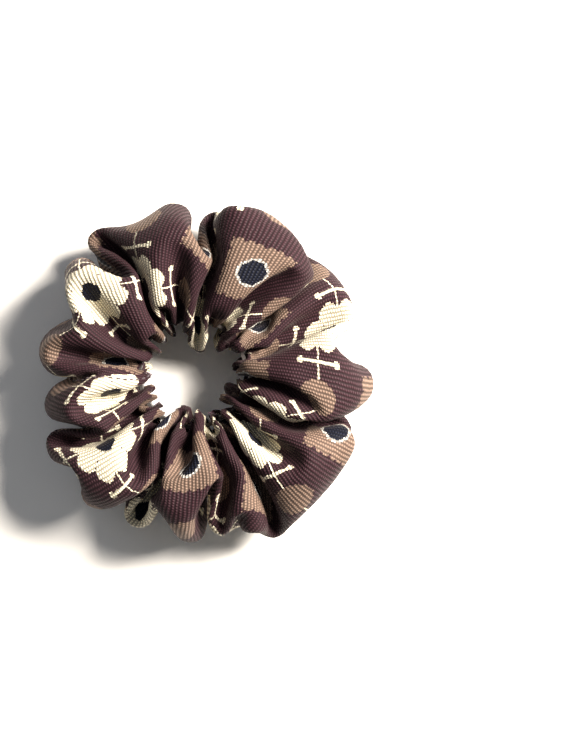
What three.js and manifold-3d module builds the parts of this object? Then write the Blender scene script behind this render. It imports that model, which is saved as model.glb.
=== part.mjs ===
// A scrunchie: a cloth tube gathered into a puffed ring on a loop of flat elastic.
//
// Millimetres, +Z up. The ring lies flat: its axis is +Z, its lowest face is at z = 0 and the
// origin is the middle of that face. The right half, on +X, stays; the left half pulls away to -X.

import * as THREE from 'three';
import * as BufferGeometryUtils from 'three/addons/utils/BufferGeometryUtils.js';
import Module from 'manifold-3d';

const wasm = await Module();
wasm.setup();

// ---- Driving dimensions -------------------------------------------------------------------

const HOLE_DIAMETER = 24;         // clear hole in the middle of the ring, for the hair
const TUBE_WIDTH = 43;            // puffed tube, from the hole to the outer edge
const TUBE_HEIGHT = 36;           // puffed tube, from the table to its top
const REST_DEPTH = 2;             // how far the tube's round underside is pressed flat
const CLOTH_WALL = 0.8;           // cover wall: the crinkled cloth, two folds lying together
const SEAM_ALLOWANCE = 6;         // turned-in edge of the lengthwise seam
const SEAM_ALLOWANCE_THICK = 1.2; // both layers of that edge, pressed together
const GATHERS_PER_HALF = 4;       // puffed lobes on each half of the ring
const VALLEY_SHARE = 0.88;        // tube size in the valley between two gathers, to its size on a crest

const ELASTIC_WIDTH = 6;          // flat elastic strip, standing on its edge in the ring
const ELASTIC_THICK = 1;
const ELASTIC_LAP = 12;           // how far the strip's ends overlap
const ELASTIC_STEP = 5;           // length over which the outer end steps over the inner one

const THREAD_DIAMETER = 0.4;      // sewing thread
const SEAM_STITCH_INSET = 1.5;    // from the cover's wall to the line of the lengthwise stitches
const TACK_STITCHES = 3;          // whip stitches through the elastic's lap
const TACK_SPACING = 3;

const PIECE_GAP = 0.3;            // clearance between pieces that touch

// ---- Sizes that follow --------------------------------------------------------------------

const HALF_WIDTH = TUBE_WIDTH / 2;
const RING_RADIUS = HOLE_DIAMETER / 2 + HALF_WIDTH;
const HALF_HEIGHT = (TUBE_HEIGHT + REST_DEPTH) / 2;
const CENTRE_Z = TUBE_HEIGHT - HALF_HEIGHT;
const GATHER_COUNT = 2 * GATHERS_PER_HALF;
const GATHER_ANGLE = 2 * Math.PI / GATHER_COUNT;
const QUARTER_TURN = Math.PI / 2;

// Free edge of the seam allowance, as a distance in from the tube's centre line.
const ALLOWANCE_EDGE = HALF_WIDTH - CLOTH_WALL - SEAM_ALLOWANCE;
// The elastic lies just outside that edge where the tube is smallest.
const ELASTIC_RADIUS = RING_RADIUS - ALLOWANCE_EDGE * VALLEY_SHARE + PIECE_GAP + ELASTIC_THICK / 2;
// Middle of the stitches of the lengthwise seam: distance in from the centre line, and height.
const SEAM_STITCH_IN = HALF_WIDTH - CLOTH_WALL - SEAM_STITCH_INSET;
const SEAM_STITCH_Z = CENTRE_Z + SEAM_ALLOWANCE_THICK / 2 + PIECE_GAP + THREAD_DIAMETER / 2;
// The closing seam's thread lies between the two gathers that meet opposite +X.
const CLOSING_GAP = THREAD_DIAMETER + 2 * PIECE_GAP;

// ---- Fineness of the facets ---------------------------------------------------------------

const SECTION_POINTS = 24;        // round the tube
const GATHER_STEPS = 6;           // along one gather
const BAND_STEPS = 16;            // along one quarter of the elastic
const THREAD_SIDES = 6;
const THREAD_STEPS = 24;          // along one half of the lengthwise seam

// ---- Materials ----------------------------------------------------------------------------

function clothMaterial() {
  return new THREE.MeshStandardMaterial({ color: 0x4a2d35, roughness: 0.75, metalness: 0 });
}

function elasticMaterial() {
  return new THREE.MeshStandardMaterial({ color: 0xe9e4d8, roughness: 0.8, metalness: 0 });
}

function threadMaterial() {
  return new THREE.MeshStandardMaterial({ color: 0x2c1a22, roughness: 0.6, metalness: 0 });
}

// ---- Helpers ------------------------------------------------------------------------------

// The tube's size at a heading round the ring, as a share of its size on a gather's crest:
// one in the middle of each gather, falling as a parabola to VALLEY_SHARE at its two ends.
function puff(heading) {
  const turns = heading / GATHER_ANGLE;
  const fromCrest = 2 * (turns - Math.floor(turns)) - 1;
  return VALLEY_SHARE + (1 - VALLEY_SHARE) * (1 - fromCrest * fromCrest);
}

// Half of an ellipse or more as outline points, from one angle to another.
function ellipsePoints(halfWidth, halfHeight, from, to, count) {
  const points = [];
  for (let i = 0; i <= count; i += 1) {
    const angle = from + (to - from) * i / count;
    points.push(new THREE.Vector2(halfWidth * Math.cos(angle), halfHeight * Math.sin(angle)));
  }
  return points;
}

// An upright band that follows the ring, as a flat outline seen from above: radiusAt gives the
// radius of its middle line at each heading.
function bandShape(from, to, thick, radiusAt, steps) {
  const outer = [];
  const inner = [];
  for (let i = 0; i <= steps; i += 1) {
    const heading = from + (to - from) * i / steps;
    const radius = radiusAt(heading);
    const direction = new THREE.Vector2(Math.cos(heading), Math.sin(heading));
    outer.push(direction.clone().multiplyScalar(radius + thick / 2));
    inner.unshift(direction.clone().multiplyScalar(radius - thick / 2));
  }
  return new THREE.Shape([...outer, ...inner]);
}

// Makes a solid of a closed geometry, so that it can be joined to others.
function toSolid(geometry) {
  const bare = geometry.clone();
  bare.deleteAttribute('normal');
  bare.deleteAttribute('uv');
  const merged = BufferGeometryUtils.mergeVertices(bare, 1e-4);
  return new wasm.Manifold(new wasm.Mesh({
    numProp: 3,
    vertProperties: new Float32Array(merged.attributes.position.array),
    triVerts: new Uint32Array(merged.index.array),
  }));
}

// Makes a geometry of a solid.
function toGeometry(solid) {
  const mesh = solid.getMesh();
  const geometry = new THREE.BufferGeometry();
  geometry.setAttribute('position', new THREE.BufferAttribute(new Float32Array(mesh.vertProperties), 3));
  geometry.setIndex(new THREE.BufferAttribute(new Uint32Array(mesh.triVerts), 1));
  geometry.computeVertexNormals();
  return geometry;
}

function namedMesh(name, geometry, material) {
  const mesh = new THREE.Mesh(geometry, material);
  mesh.name = name;
  return mesh;
}

// ---- Cover --------------------------------------------------------------------------------

// The tube's section: an elliptical wall, and the seam allowance standing in from the wall on
// the side of the hole. x runs out from the tube's centre line and y runs up.
function coverSection() {
  const section = new THREE.Shape(ellipsePoints(HALF_WIDTH, HALF_HEIGHT, 0, 2 * Math.PI, SECTION_POINTS)
    .slice(0, SECTION_POINTS));
  const innerWidth = HALF_WIDTH - CLOTH_WALL;
  const innerHeight = HALF_HEIGHT - CLOTH_WALL;
  const allowanceAngle = Math.asin(SEAM_ALLOWANCE_THICK / 2 / innerHeight);
  const wall = ellipsePoints(
    innerWidth, innerHeight, Math.PI + allowanceAngle, 3 * Math.PI - allowanceAngle, SECTION_POINTS);
  const edge = [
    new THREE.Vector2(-ALLOWANCE_EDGE, SEAM_ALLOWANCE_THICK / 2),
    new THREE.Vector2(-ALLOWANCE_EDGE, -SEAM_ALLOWANCE_THICK / 2),
  ];
  section.holes.push(new THREE.Path([...wall, ...edge]));
  return section;
}

// Lays a straight length of tube round the ring between two headings. Each section is scaled by
// the gather's puff, and the underside is pressed flat: the outer skin stops at the table and the
// inner skin one wall above it.
function bendOntoRing(geometry, from, to) {
  const positions = geometry.attributes.position;
  for (let i = 0; i < positions.count; i += 1) {
    const x = positions.getX(i);
    const y = positions.getY(i);
    const heading = to - (to - from) * positions.getZ(i);
    const size = puff(Math.min(Math.max(heading, from + 1e-6), to - 1e-6));
    const depth = HALF_HEIGHT * (1 - Math.hypot(x / HALF_WIDTH, y / HALF_HEIGHT));
    const radius = RING_RADIUS + x * size;
    const height = Math.max(CENTRE_Z + y * size, depth, 0);
    positions.setXYZ(i, radius * Math.cos(heading), radius * Math.sin(heading), height);
  }
  geometry.computeVertexNormals();
  return geometry;
}

function coverGather(index) {
  const first = -QUARTER_TURN + index * GATHER_ANGLE;
  const last = first + GATHER_ANGLE;
  const closingHeading = Math.PI;
  const gapAt = (heading) => (Math.abs(heading - closingHeading) < 1e-6 ? CLOSING_GAP : PIECE_GAP);
  // The gap is widest at the outer edge, so it is set where the tube is nearest the axis.
  const narrowest = RING_RADIUS - HALF_WIDTH * VALLEY_SHARE;
  const from = first + gapAt(first) / 2 / narrowest;
  const to = last - gapAt(last) / 2 / narrowest;
  const tube = new THREE.ExtrudeGeometry(coverSection(), {
    depth: 1, steps: GATHER_STEPS, bevelEnabled: false,
  });
  return namedMesh(`cover_gather_${index + 1}`, bendOntoRing(tube, from, to), clothMaterial());
}

// ---- Elastic ------------------------------------------------------------------------------

const LAP_ANGLE = ELASTIC_LAP / ELASTIC_RADIUS;
const STEP_ANGLE = ELASTIC_STEP / ELASTIC_RADIUS;
const LAP_LIFT = ELASTIC_THICK + PIECE_GAP;
const END_ANGLE = PIECE_GAP / 2 / ELASTIC_RADIUS;

// The outer end keeps the loop's radius, then steps out over the inner end before the lap starts.
function outerEndRadius(heading) {
  const lapStart = Math.PI + LAP_ANGLE / 2;
  const along = THREE.MathUtils.clamp((lapStart + STEP_ANGLE - heading) / STEP_ANGLE, 0, 1);
  return ELASTIC_RADIUS + LAP_LIFT * THREE.MathUtils.smoothstep(along, 0, 1);
}

function elasticBand(name, from, to, radiusAt, steps) {
  const band = new THREE.ExtrudeGeometry(bandShape(from, to, ELASTIC_THICK, radiusAt, steps), {
    depth: ELASTIC_WIDTH, bevelEnabled: false,
  });
  band.translate(0, 0, CENTRE_Z - ELASTIC_WIDTH / 2);
  return namedMesh(name, band, elasticMaterial());
}

function elasticPieces() {
  const plain = () => ELASTIC_RADIUS;
  return [
    elasticBand('elastic_right_half', -QUARTER_TURN + END_ANGLE, QUARTER_TURN - END_ANGLE, plain,
      2 * BAND_STEPS),
    elasticBand('elastic_inner_end', QUARTER_TURN + END_ANGLE, Math.PI + LAP_ANGLE / 2, plain,
      BAND_STEPS),
    elasticBand('elastic_outer_end', Math.PI - LAP_ANGLE / 2, 3 * QUARTER_TURN - END_ANGLE,
      outerEndRadius, 2 * BAND_STEPS),
  ];
}

// ---- Threads ------------------------------------------------------------------------------

// The line of stitches of the lengthwise seam. It keeps its distance from the cover's wall, so it
// swings in and out with the gathers.
class SeamLine extends THREE.Curve {
  constructor(from, to) {
    super();
    this.from = from;
    this.to = to;
  }

  getPoint(t) {
    const heading = this.from + (this.to - this.from) * t;
    const radius = RING_RADIUS - SEAM_STITCH_IN * puff(heading);
    return new THREE.Vector3(radius * Math.cos(heading), radius * Math.sin(heading), SEAM_STITCH_Z);
  }
}

function longSeamThread(name, from, to) {
  const section = new THREE.Shape(
    ellipsePoints(THREAD_DIAMETER / 2, THREAD_DIAMETER / 2, 0, 2 * Math.PI, THREAD_SIDES)
      .slice(0, THREAD_SIDES));
  const endAngle = PIECE_GAP / 2 / (RING_RADIUS - SEAM_STITCH_IN);
  const thread = new THREE.ExtrudeGeometry(section, {
    steps: THREAD_STEPS, bevelEnabled: false, extrudePath: new SeamLine(from + endAngle, to - endAngle),
  });
  return namedMesh(name, thread, threadMaterial());
}

// The closing seam's thread runs once round the tube in the valley opposite +X, in the middle of
// the cover's wall. Its outline is a flat ring, pressed flat underneath as the cover is.
function closingSeamThread() {
  const ring = (inset) => ellipsePoints(
    HALF_WIDTH - inset, HALF_HEIGHT - inset, 0, 2 * Math.PI, SECTION_POINTS).slice(0, SECTION_POINTS);
  const middle = CLOTH_WALL / 2;
  const shape = new THREE.Shape(ring(middle - THREAD_DIAMETER / 2));
  shape.holes.push(new THREE.Path(ring(middle + THREAD_DIAMETER / 2)));
  const loop = new THREE.ExtrudeGeometry(shape, { depth: THREAD_DIAMETER, bevelEnabled: false });
  loop.translate(0, 0, -THREAD_DIAMETER / 2);
  const positions = loop.attributes.position;
  for (let i = 0; i < positions.count; i += 1) {
    const x = positions.getX(i);
    const y = positions.getY(i);
    const depth = HALF_HEIGHT * (1 - Math.hypot(x / HALF_WIDTH, y / HALF_HEIGHT));
    const radius = RING_RADIUS + x * VALLEY_SHARE;
    const height = Math.max(CENTRE_Z + y * VALLEY_SHARE, depth);
    positions.setXYZ(i, -radius, positions.getZ(i), height);
  }
  loop.computeVertexNormals();
  return namedMesh('closing_seam_thread', loop, threadMaterial());
}

// One whip stitch: a square-cornered loop of thread round both layers of the elastic's lap.
function whipStitch(sideways) {
  const clear = PIECE_GAP + THREAD_DIAMETER;
  const inner = ELASTIC_RADIUS - ELASTIC_THICK / 2 - clear;
  const outer = ELASTIC_RADIUS + LAP_LIFT + ELASTIC_THICK / 2 + clear;
  const frame = (inset) => {
    const low = -ELASTIC_WIDTH / 2 - clear + inset;
    return [
      new THREE.Vector2(inner + inset, low),
      new THREE.Vector2(outer - inset, low),
      new THREE.Vector2(outer - inset, -low),
      new THREE.Vector2(inner + inset, -low),
    ];
  };
  const shape = new THREE.Shape(frame(0));
  shape.holes.push(new THREE.Path(frame(THREAD_DIAMETER)));
  const loop = new THREE.ExtrudeGeometry(shape, { depth: THREAD_DIAMETER, bevelEnabled: false });
  loop.translate(0, 0, -THREAD_DIAMETER / 2);
  loop.rotateX(QUARTER_TURN);
  loop.rotateZ(Math.PI + sideways / ELASTIC_RADIUS);
  loop.translate(0, 0, CENTRE_Z);
  return toSolid(loop);
}

// The tack is a row of whip stitches, joined by the run of thread from one to the next.
function elasticTackThread() {
  const reach = TACK_SPACING * (TACK_STITCHES - 1) / 2;
  const runRadius = ELASTIC_RADIUS + LAP_LIFT + ELASTIC_THICK / 2 + PIECE_GAP + THREAD_DIAMETER / 2;
  const reachAngle = reach / ELASTIC_RADIUS;
  const run = new THREE.ExtrudeGeometry(
    bandShape(Math.PI - reachAngle, Math.PI + reachAngle, THREAD_DIAMETER, () => runRadius,
      2 * (TACK_STITCHES - 1)),
    { depth: THREAD_DIAMETER, bevelEnabled: false });
  run.translate(0, 0, CENTRE_Z - THREAD_DIAMETER / 2);
  let tack = toSolid(run);
  for (let i = 0; i < TACK_STITCHES; i += 1) {
    tack = tack.add(whipStitch(i * TACK_SPACING - reach));
  }
  return namedMesh('elastic_tack_thread', toGeometry(tack), threadMaterial());
}

// ---- Assembly -----------------------------------------------------------------------------

const scrunchie = new THREE.Group();
for (let index = 0; index < GATHER_COUNT; index += 1) {
  scrunchie.add(coverGather(index));
}
scrunchie.add(...elasticPieces());
scrunchie.add(elasticTackThread());
scrunchie.add(longSeamThread('long_seam_thread_right', -QUARTER_TURN, QUARTER_TURN));
scrunchie.add(longSeamThread('long_seam_thread_left', QUARTER_TURN, 3 * QUARTER_TURN));
scrunchie.add(closingSeamThread());

export default scrunchie;
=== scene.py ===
"""A scrunchie: a tube of printed rib satin gathered into a puffed ring on a loop of flat elastic.

The cover is one sewn tube. It starts as a straight cylinder of cloth, is bent into a wide ring, and
is then drawn in by its ties to the elastic while a cloth simulation folds it into lobes.
"""
import logging
import math
from dataclasses import dataclass, field
from enum import Enum

import bpy
import numpy as np
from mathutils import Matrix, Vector


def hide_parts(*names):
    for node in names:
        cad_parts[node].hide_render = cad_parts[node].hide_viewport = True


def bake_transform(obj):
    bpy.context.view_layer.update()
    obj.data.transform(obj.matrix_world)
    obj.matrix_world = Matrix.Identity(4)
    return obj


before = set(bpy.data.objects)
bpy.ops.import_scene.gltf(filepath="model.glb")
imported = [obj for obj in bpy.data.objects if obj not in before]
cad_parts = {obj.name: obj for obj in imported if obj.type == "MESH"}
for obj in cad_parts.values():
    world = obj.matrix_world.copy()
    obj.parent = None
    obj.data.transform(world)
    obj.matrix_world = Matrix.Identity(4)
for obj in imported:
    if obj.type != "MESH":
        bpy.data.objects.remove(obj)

LOG = logging.getLogger("scrunchie")

MM = 0.001
FULL_TURN = 2.0 * math.pi
SEAM_HEADING = 180.0
TINY = 1e-12


# ---------------------------------------------------------------------------------------------
# Small helpers


def linear(hex_colour: str) -> tuple[float, float, float, float]:
    """Turn an sRGB hex colour into linear RGBA.

    The standard curve: a straight line near black, and above it a power of 2.4.

    Args:
        hex_colour: Six hex digits, such as "4a2d35".

    Returns:
        Linear red, green, blue and an alpha of one.
    """
    srgb = np.array([int(hex_colour[i:i + 2], 16) for i in (0, 2, 4)]) / 255.0
    value = np.where(srgb <= 0.04045, srgb / 12.92, ((srgb + 0.055) / 1.055) ** 2.4)
    return float(value[0]), float(value[1]), float(value[2]), 1.0


def smooth(t: np.ndarray) -> np.ndarray:
    """Smoothstep of t, clamped to 0..1: three t squared minus two t cubed."""
    t = np.clip(t, 0.0, 1.0)
    return t * t * (3.0 - 2.0 * t)


def add_node(tree: bpy.types.NodeTree, kind: str, inputs: dict[str | int, object] | None = None,
             **settings: object) -> bpy.types.Node:
    """Add a shader node, set its properties, and fill or link its inputs.

    Args:
        tree: The material's node tree.
        kind: The node's type name.
        inputs: Input name or number to a value, a node (its first output) or an output socket.
        settings: Properties to set on the node before its inputs are filled.

    Returns:
        The new node.
    """
    node = tree.nodes.new(kind)
    for key, value in settings.items():
        setattr(node, key, value)
    for key, value in (inputs or {}).items():
        if isinstance(value, bpy.types.Node):
            tree.links.new(value.outputs[0], node.inputs[key])
        elif isinstance(value, bpy.types.NodeSocket):
            tree.links.new(value, node.inputs[key])
        else:
            node.inputs[key].default_value = value
    return node


def new_material(
        name: str, **settings: object) -> tuple[bpy.types.Material, bpy.types.NodeTree, bpy.types.Node]:
    """Make a node material with one Principled shader whose plain sockets are set.

    Args:
        name: The material's name.
        settings: Socket name, with _ for each space, to its value.

    Returns:
        The material, its node tree and its Principled node.
    """
    material = bpy.data.materials.new(name)
    material.use_nodes = True
    tree = material.node_tree
    tree.nodes.clear()
    shader = add_node(tree, "ShaderNodeBsdfPrincipled")
    for key, value in settings.items():
        shader.inputs[key.replace("_", " ")].default_value = value
    add_node(tree, "ShaderNodeOutputMaterial", {"Surface": shader})
    return material, tree, shader


def grid_faces(rows: int, columns: int, wrap_rows: bool, wrap_columns: bool) -> np.ndarray:
    """Quads over a grid of points that may close on itself either way.

    Args:
        rows: Points along the first parameter.
        columns: Points along the second parameter.
        wrap_rows: The last row joins the first.
        wrap_columns: The last column joins the first.

    Returns:
        Corner numbers, four to a face.
    """
    index = np.arange(rows * columns).reshape(rows, columns)
    if wrap_rows:
        index = np.vstack([index, index[:1]])
    if wrap_columns:
        index = np.hstack([index, index[:, :1]])
    corners = [index[:-1, :-1], index[1:, :-1], index[1:, 1:], index[:-1, 1:]]
    return np.stack(corners, axis=-1).reshape(-1, 4)


def make_object(name: str, points: np.ndarray, faces: np.ndarray) -> bpy.types.Object:
    """Put points and quads into a smooth-shaded mesh object at the origin.

    Args:
        name: The piece's name.
        points: Vertex places in metres, one row each.
        faces: Corner numbers, one row for each face.

    Returns:
        The new object, linked to the scene.
    """
    mesh = bpy.data.meshes.new(name)
    mesh.from_pydata(np.asarray(points, float).reshape(-1, 3).tolist(), [], faces.tolist())
    mesh.update()
    mesh.polygons.foreach_set("use_smooth", np.ones(len(mesh.polygons), bool))
    piece = bpy.data.objects.new(name, mesh)
    bpy.context.scene.collection.objects.link(piece)
    return piece


def unit(vectors: np.ndarray) -> np.ndarray:
    """Each row of vectors, divided by its length."""
    return vectors / np.maximum(np.linalg.norm(vectors, axis=-1, keepdims=True), TINY)


SLANT = np.array([[0.31, 0.17, 0.93]])
POINTED = 0.15


def tube_along(
        path: np.ndarray, radius: float, sides: int, closed: bool) -> tuple[np.ndarray, np.ndarray]:
    """A round tube along a path, closed on itself or with its ends drawn to a point.

    The section is a circle in the plane square to the path. Its first axis is the path's direction
    crossed with a fixed slanting vector, so it doesn't twist on a path that is never along it.

    Args:
        path: Points along the middle of the tube.
        radius: The tube's radius, in the path's units.
        sides: Points round the section.
        closed: The path's last point joins its first.

    Returns:
        Points and faces.
    """
    if closed:
        along = np.roll(path, -1, axis=0) - np.roll(path, 1, axis=0)
    else:
        along = np.gradient(path, axis=0)
    along = unit(along)
    side = unit(np.cross(along, unit(SLANT)))
    up = np.cross(side, along)
    size = np.full(len(path), radius)
    if not closed:
        size[[0, -1]] = radius * POINTED
    turn = np.arange(sides) * FULL_TURN / sides
    ring = (np.cos(turn)[None, :, None] * side[:, None, :]
            + np.sin(turn)[None, :, None] * up[:, None, :])
    points = path[:, None, :] + size[:, None, None] * ring
    faces = grid_faces(len(path), sides, closed, True)
    return points.reshape(-1, 3), faces


# ---------------------------------------------------------------------------------------------
# The cut cloth and how it is gathered


@dataclass(frozen=True)
class Lobe:
    """One fold of the gathered cover, between two ties to the elastic. Degrees and millimetres.

    The cloth is what the lobe takes of the tube's length. The half height and the inner side shape
    its section in the middle.
    """

    heading: float
    cloth: float
    reach: float
    lift: float
    lean: float = 0.0
    half_height: float = 14.0
    inner: float = 12.0
    hollow: float = 0.0


@dataclass
class GatherPlan:
    """Which lobe lies where round the ring, and how much of the tube's length each one takes.

    Everything is in millimetres, and drawn a little large: final_size is the share of the plan's
    size that the scrunchie has.

    Headings are counted from +X towards +Y. The list starts at the closing seam, opposite +X. A
    lobe's reach is how far its outer edge lies from the ring's axis, its lift is how far that edge
    is raised, its lean is how far it is pushed round the ring, and its hollow is how far its top
    sinks in.
    """

    tube_round: float = 108.0
    tie_radius: float = 15.5
    valley_reach: float = 38.0
    band_gap: float = 1.5
    band_height: float = 7.0
    low: float = -17.0
    high: float = 20.0
    final_size: float = 0.92
    lobes: tuple[Lobe, ...] = (
        Lobe(-165, 30, 52, 3, 2),
        Lobe(-146, 30, 52, -4, -2),
        Lobe(-126, 32, 53, 4, 2, 15),
        Lobe(-108, 30, 52, -3, -3),
        Lobe(-93, 32, 54, 5, 0, 15, 7),
        Lobe(-76, 32, 55, -5, 2, 14, 11),
        Lobe(-48, 64, 54, 7, 3, 17, 4),
        Lobe(-24, 28, 52, -9, 0, 12, 12),
        Lobe(-5, 42, 57, 9, -4, 15, 12),
        Lobe(26, 42, 55, 1, 4, 15, 14, 10),
        Lobe(58, 64, 49, 8, -5, 17, 9),
        Lobe(81, 28, 55, -10, -2, 12, 12),
        Lobe(100, 38, 47, 8, 0, 16, 7),
        Lobe(121, 30, 52, -4, 2),
        Lobe(142, 32, 52, 4, -2),
        Lobe(163, 30, 52, -3, 2),
    )

    @property
    def cut(self) -> tuple[float, float]:
        """The cut cloth's final width, which goes round the tube, and length."""
        return self.tube_round * self.final_size, self.length * self.final_size

    @property
    def band_radius(self) -> float:
        """Inner radius of the elastic: just behind the ties."""
        return self.tie_radius + self.band_gap

    @property
    def length(self) -> float:
        """The cut length of the tube: the sum of what its lobes take."""
        return sum(lobe.cloth for lobe in self.lobes)

    def ties(self) -> np.ndarray:
        """Distance along the tube of each tie: the running sum of the lobes' cloth, from zero."""
        return np.concatenate([[0.0], np.cumsum([lobe.cloth for lobe in self.lobes])])

    def crests(self) -> np.ndarray:
        """Distance along the tube of each lobe's middle, halfway between its two ties."""
        ties = self.ties()
        return (ties[:-1] + ties[1:]) / 2.0

    def headings(self, along: np.ndarray) -> np.ndarray:
        """Heading round the ring of each place along the tube.

        A lobe's middle is at the lobe's heading and a tie is halfway between its two neighbours;
        the heading runs evenly from one to the next.

        Args:
            along: Distances along the tube.

        Returns:
            The headings, in degrees.
        """
        middle = np.array([lobe.heading for lobe in self.lobes], float)
        at_ties = np.concatenate([[-SEAM_HEADING], (middle[:-1] + middle[1:]) / 2.0, [SEAM_HEADING]])
        places = np.empty(2 * len(middle) + 1)
        values = np.empty_like(places)
        places[0::2], places[1::2] = self.ties(), self.crests()
        values[0::2], values[1::2] = at_ties, middle
        return np.interp(along, places, values)

    def between(self, along: np.ndarray, size: str, at_tie: float) -> np.ndarray:
        """A lobe's size along the tube: its own value in its middle, easing to at_tie at its ties.

        Args:
            along: Distances along the tube.
            size: The name of a field of Lobe.
            at_tie: The value at every tie.

        Returns:
            The size at each distance: a smoothstep from each tie to the next middle and back.
        """
        places = np.empty(2 * len(self.lobes) + 1)
        values = np.full_like(places, at_tie)
        places[0::2], places[1::2] = self.ties(), self.crests()
        values[1::2] = [getattr(lobe, size) for lobe in self.lobes]
        step = np.interp(along, places, np.arange(len(places)))
        first = np.clip(np.floor(step).astype(int), 0, len(places) - 2)
        share = smooth(step - first)
        return values[first] * (1.0 - share) + values[first + 1] * share


@dataclass
class ClothSimulation:
    """Folds the straight tube of cloth into the gathered ring with Blender's cloth solver.

    Lengths are in millimetres of the plan. The solver works at a multiple of the real size, where
    its steps and its collision distances suit the cloth. It runs twice: the cloth is first drawn in
    by its ties round the elastic, and then settles with only its ties held.
    """

    plan: GatherPlan
    # The grid of points, and the solver's own size and steps.
    rows: int = 168
    columns: int = 36
    scale: float = 20.0
    gather_frames: int = 35
    settle_frames: int = 16
    quality: int = 5
    # The cloth: its weight, stiffness, damping and friction, and the air inside the tube.
    weight: float = 0.3
    stretch: float = 15.0
    shear: float = 6.0
    bending: float = 18.0
    damping: float = 5.0
    bending_damping: float = 0.5
    pressure: float = 0.2
    friction: float = 5.0
    # Distances kept between layers of cloth, from cloth to helper, and round a helper.
    layer_gap: float = 1.2
    helper_gap: float = 0.5
    helper_skin: float = 0.3
    contact_steps: int = 3
    # How firmly the guide draws the cloth, and how much of it shows in the first shape.
    guide_hold: float = 0.12
    crest_hold: float = 0.38
    inner_hold: float = 0.35
    start_hint: float = 0.25
    # The ties: points held at each one, above and below its middle, and how closely they stand.
    levels: int = 2
    tie_closeness: float = 0.95
    tie_half_height: float = 14.0
    # A hollow lies round the top of the section, this many radians wide.
    hollow_at: float = 2.5 * math.pi
    hollow_width: float = 0.6
    least_lean_radius: float = 20.0
    plate_reach: float = 200.0
    band_sides: int = 64

    @property
    def along(self) -> np.ndarray:
        """Distance along the tube of each row of points."""
        return np.linspace(0.0, self.plan.length, self.rows + 1)

    @property
    def section(self) -> np.ndarray:
        """Angle round the tube of each column, starting at the side of the hole."""
        return math.pi + np.arange(self.columns) * FULL_TURN / self.columns

    def straight(self) -> np.ndarray:
        """The cut tube: a straight round cylinder along X, whose radius is its girth over a turn.

        Returns:
            Points, rows by columns by three.
        """
        along, turn = np.meshgrid(self.along, self.section, indexing="ij")
        radius = self.plan.tube_round / FULL_TURN
        return np.stack(
            [along - self.plan.length / 2, radius * np.cos(turn), radius * np.sin(turn)], axis=-1)

    def wide_ring(self) -> np.ndarray:
        """The tube bent into a round ring with no gathers, and a hint of each lobe.

        Heading is half a turn plus the share of the length; radius is the ring's plus the tube's
        radius times the cosine of the section angle. A share of each lobe's reach, lift and lean is
        added on the outer side, fading to none at the side of the hole.

        Returns:
            Points, rows by columns by three.
        """
        along, turn = np.meshgrid(self.along, self.section, indexing="ij")
        tube = self.plan.tube_round / FULL_TURN
        ring = self.plan.length / FULL_TURN
        outward = 0.5 + 0.5 * np.cos(turn)
        mean_reach = float(np.mean([lobe.reach for lobe in self.plan.lobes]))
        reach = self.plan.between(self.along, "reach", self.plan.valley_reach) - mean_reach
        lift = self.plan.between(self.along, "lift", 0.0)
        lean = self.plan.between(self.along, "lean", 0.0)
        radius = ring + tube * np.cos(turn) + self.start_hint * reach[:, None] * outward
        height = tube * np.sin(turn) + self.start_hint * lift[:, None] * outward
        heading = math.pi + FULL_TURN * along / self.plan.length
        heading = heading + self.start_hint * lean[:, None] * outward / ring
        return np.stack([radius * np.cos(heading), radius * np.sin(heading), height], axis=-1)

    def gathered_guide(self) -> np.ndarray:
        """Where the gathers should roughly go: the shape that holds the ties and draws the lobes.

        Each section is an ellipse from the lobe's inner side to its reach, raised by its lift on
        the outer side and sunk by its hollow along the top. At a tie, the points nearest the hole
        stand one above the other, in front of the elastic.

        Returns:
            Points, rows by columns by three.
        """
        plan = self.plan
        turn = np.broadcast_to(self.section, (self.rows + 1, self.columns))
        outward = 0.5 + 0.5 * np.cos(turn)
        reach = plan.between(self.along, "reach", plan.valley_reach)[:, None]
        inner = plan.between(self.along, "inner", plan.tie_radius)[:, None]
        lift = plan.between(self.along, "lift", 0.0)[:, None]
        lean = plan.between(self.along, "lean", 0.0)[:, None]
        top = plan.between(self.along, "half_height", self.tie_half_height)[:, None]
        hollow = plan.between(self.along, "hollow", 0.0)[:, None]
        radius = (reach + inner) / 2 + (reach - inner) / 2 * np.cos(turn)
        sunk = hollow * np.exp(-((turn - self.hollow_at) / self.hollow_width) ** 2)
        height = lift * outward + top * np.sin(turn) - sunk
        sideways = lean * outward / np.maximum(radius, self.least_lean_radius)
        heading = np.radians(plan.headings(self.along))[:, None] + sideways
        guide = np.stack([radius * np.cos(heading), radius * np.sin(heading), height], axis=-1)
        spacing = plan.tube_round / self.columns
        for row, column, level in self.tie_points():
            angle = math.radians(float(plan.headings(self.along)[row]))
            guide[row, column] = (
                plan.tie_radius * math.cos(angle), plan.tie_radius * math.sin(angle),
                -level * self.tie_closeness * spacing)
        return guide

    def tie_points(self) -> list[tuple[int, int, int]]:
        """The points held in front of the elastic, a few at each tie.

        Returns:
            Row, column and level of each, where the level counts from the tie's middle.
        """
        rows = np.round(self.plan.ties() / self.plan.length * self.rows).astype(int)
        levels = range(-self.levels, self.levels + 1)
        return [(int(row), level % self.columns, level) for row in rows for level in levels]

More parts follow.
